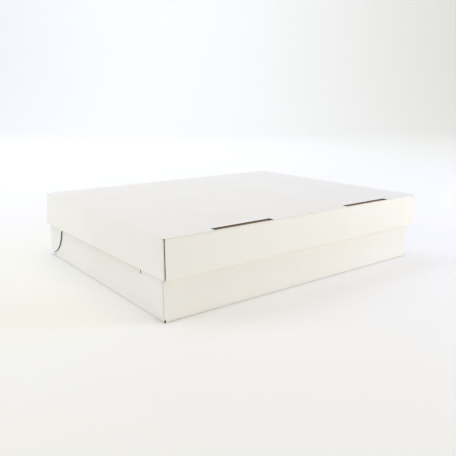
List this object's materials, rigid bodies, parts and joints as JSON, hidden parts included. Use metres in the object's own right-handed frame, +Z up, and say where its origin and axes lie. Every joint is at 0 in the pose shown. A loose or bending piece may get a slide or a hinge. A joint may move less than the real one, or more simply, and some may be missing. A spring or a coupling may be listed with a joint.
{
  "type": "cardboard box",
  "caption": "Low white corrugated mailing box, folded from a single blank, with a hinged lid whose rolled front wall locks by tabs into slots along the front edge.",
  "frame": {"origin": "middle of the closed box's footprint, on the surface it rests on", "axes": "+Z up, +X along the long front from left to right, -Y out of the front wall; the lid folds along the top of the back wall at +Y"},
  "size_m": [0.405, 0.32, 0.089],
  "materials": {
    "board_tray": "matte white-faced corrugated board, brown kraft inside",
    "board_lid": "matte white-faced corrugated board, brown kraft inside"
  },
  "bodies": {
    "tray": {"tray": "board_tray"},
    "lid": {"lid": "board_lid"}
  },
  "joints": [
    {"name": "lid_hinge", "type": "hinge", "parent": "tray", "child": "lid", "pos_m": [0, 0.16, 0.089], "axis": [-1, 0, 0], "range_deg": [0, 195]}
  ]
}
